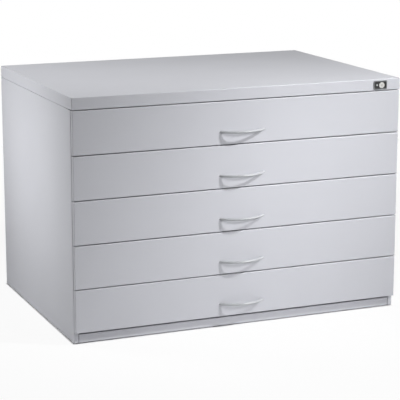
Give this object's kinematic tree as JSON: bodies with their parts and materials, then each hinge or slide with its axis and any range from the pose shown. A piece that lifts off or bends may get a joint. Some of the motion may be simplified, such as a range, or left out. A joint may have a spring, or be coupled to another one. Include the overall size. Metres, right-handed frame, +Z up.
{
  "type": "plan chest",
  "caption": "Low, wide steel filing cabinet for flat sheets: shallow full-width drawers with bowed handles on telescopic slides, under a flat lid with a key lock.",
  "frame": {"origin": "on the floor, at the middle of the whole object's width and depth, handles included", "axes": "+X to the viewer's right along the width, +Y from the drawer fronts to the back, +Z up"},
  "size_m": [1.1, 0.797, 0.76],
  "materials": {
    "carcass_paint": "silver-grey powder coat, satin",
    "front_paint": "silver-grey powder coat, satin",
    "tray_paint": "silver-grey powder coat, satin",
    "slide_steel": "bright zinc-plated steel",
    "handle_metal": "satin silver",
    "lock_chrome": "polished nickel",
    "bezel_metal": "mid-grey moulded frame",
    "rosette_plastic": "black moulded plate",
    "glide_plastic": "black nylon",
    "buffer_rubber": "black rubber"
  },
  "bodies": {
    "carcass": {"side_panel_left": "carcass_paint", "side_panel_right": "carcass_paint", "back_panel": "carcass_paint", "base_panel": "carcass_paint", "plinth_strip": "carcass_paint", "top_panel": "carcass_paint", "front_cross_rail": "carcass_paint", "uprights_left": "carcass_paint", "uprights_right": "carcass_paint", "cabinet_rails_left": "slide_steel", "cabinet_rails_right": "slide_steel", "floor_glides": "glide_plastic", "front_buffers": "buffer_rubber", "lock_bezel": "bezel_metal", "lock_rosette": "rosette_plastic", "lock_housing": "lock_chrome", "lock_bar_guides": "glide_plastic"},
    "drawer_1": {"drawer_front_1": "front_paint", "drawer_tray_1": "tray_paint", "rear_hood_1": "tray_paint", "drawer_handle_1": "handle_metal", "lock_catch_1": "slide_steel", "drawer_rails_1": "slide_steel"},
    "slide_stage_1": {"middle_rails_1": "slide_steel"},
    "flap_1": {"paper_flap_1": "tray_paint"},
    "drawer_2": {"drawer_front_2": "front_paint", "drawer_tray_2": "tray_paint", "rear_hood_2": "tray_paint", "drawer_handle_2": "handle_metal", "lock_catch_2": "slide_steel", "drawer_rails_2": "slide_steel"},
    "slide_stage_2": {"middle_rails_2": "slide_steel"},
    "flap_2": {"paper_flap_2": "tray_paint"},
    "drawer_3": {"drawer_front_3": "front_paint", "drawer_tray_3": "tray_paint", "rear_hood_3": "tray_paint", "drawer_handle_3": "handle_metal", "lock_catch_3": "slide_steel", "drawer_rails_3": "slide_steel"},
    "slide_stage_3": {"middle_rails_3": "slide_steel"},
    "flap_3": {"paper_flap_3": "tray_paint"},
    "drawer_4": {"drawer_front_4": "front_paint", "drawer_tray_4": "tray_paint", "rear_hood_4": "tray_paint", "drawer_handle_4": "handle_metal", "lock_catch_4": "slide_steel", "drawer_rails_4": "slide_steel"},
    "slide_stage_4": {"middle_rails_4": "slide_steel"},
    "flap_4": {"paper_flap_4": "tray_paint"},
    "drawer_5": {"drawer_front_5": "front_paint", "drawer_tray_5": "tray_paint", "rear_hood_5": "tray_paint", "drawer_handle_5": "handle_metal", "lock_catch_5": "slide_steel", "drawer_rails_5": "slide_steel"},
    "slide_stage_5": {"middle_rails_5": "slide_steel"},
    "flap_5": {"paper_flap_5": "tray_paint"},
    "key_plug": {"lock_plug": "lock_chrome", "lock_cam": "slide_steel"},
    "lock_bar": {"locking_bar": "slide_steel"}
  },
  "joints": [
    {"name": "drawer_1_slide", "type": "slide", "parent": "carcass", "child": "drawer_1", "axis": [0, -1, 0], "range_m": [0, 0.64]},
    {"name": "stage_1_slide", "type": "slide", "parent": "carcass", "child": "slide_stage_1", "axis": [0, -1, 0], "range_m": [0, 0.32]},
    {"name": "flap_1_hinge", "type": "hinge", "parent": "drawer_1", "child": "flap_1", "pos_m": [0, -0.3445, 0.6084], "axis": [1, 0, 0], "range_deg": [0, 85]},
    {"name": "drawer_2_slide", "type": "slide", "parent": "carcass", "child": "drawer_2", "axis": [0, -1, 0], "range_m": [0, 0.64]},
    {"name": "stage_2_slide", "type": "slide", "parent": "carcass", "child": "slide_stage_2", "axis": [0, -1, 0], "range_m": [0, 0.32]},
    {"name": "flap_2_hinge", "type": "hinge", "parent": "drawer_2", "child": "flap_2", "pos_m": [0, -0.3445, 0.4713], "axis": [1, 0, 0], "range_deg": [0, 85]},
    {"name": "drawer_3_slide", "type": "slide", "parent": "carcass", "child": "drawer_3", "axis": [0, -1, 0], "range_m": [0, 0.64]},
    {"name": "stage_3_slide", "type": "slide", "parent": "carcass", "child": "slide_stage_3", "axis": [0, -1, 0], "range_m": [0, 0.32]},
    {"name": "flap_3_hinge", "type": "hinge", "parent": "drawer_3", "child": "flap_3", "pos_m": [0, -0.3445, 0.3342], "axis": [1, 0, 0], "range_deg": [0, 85]},
    {"name": "drawer_4_slide", "type": "slide", "parent": "carcass", "child": "drawer_4", "axis": [0, -1, 0], "range_m": [0, 0.64]},
    {"name": "stage_4_slide", "type": "slide", "parent": "carcass", "child": "slide_stage_4", "axis": [0, -1, 0], "range_m": [0, 0.32]},
    {"name": "flap_4_hinge", "type": "hinge", "parent": "drawer_4", "child": "flap_4", "pos_m": [0, -0.3445, 0.1971], "axis": [1, 0, 0], "range_deg": [0, 85]},
    {"name": "drawer_5_slide", "type": "slide", "parent": "carcass", "child": "drawer_5", "axis": [0, -1, 0], "range_m": [0, 0.64]},
    {"name": "stage_5_slide", "type": "slide", "parent": "carcass", "child": "slide_stage_5", "axis": [0, -1, 0], "range_m": [0, 0.32]},
    {"name": "flap_5_hinge", "type": "hinge", "parent": "drawer_5", "child": "flap_5", "pos_m": [0, -0.3445, 0.06], "axis": [1, 0, 0], "range_deg": [0, 85]},
    {"name": "key_turn", "type": "hinge", "parent": "carcass", "child": "key_plug", "pos_m": [0.484, -0.3665, 0.74], "axis": [0, -1, 0], "range_deg": [0, 90]},
    {"name": "lock_bar_lift", "type": "slide", "parent": "carcass", "child": "lock_bar", "axis": [0, 0, 1], "range_m": [0, 0.01283]}
  ],
  "couplings": [
    {"joint": "stage_1_slide", "follows": "drawer_1_slide", "ratio": 0.5},
    {"joint": "stage_2_slide", "follows": "drawer_2_slide", "ratio": 0.5},
    {"joint": "stage_3_slide", "follows": "drawer_3_slide", "ratio": 0.5},
    {"joint": "stage_4_slide", "follows": "drawer_4_slide", "ratio": 0.5},
    {"joint": "stage_5_slide", "follows": "drawer_5_slide", "ratio": 0.5},
    {"joint": "lock_bar_lift", "follows": "key_turn", "m_per_rad": 0.0081029}
  ]
}
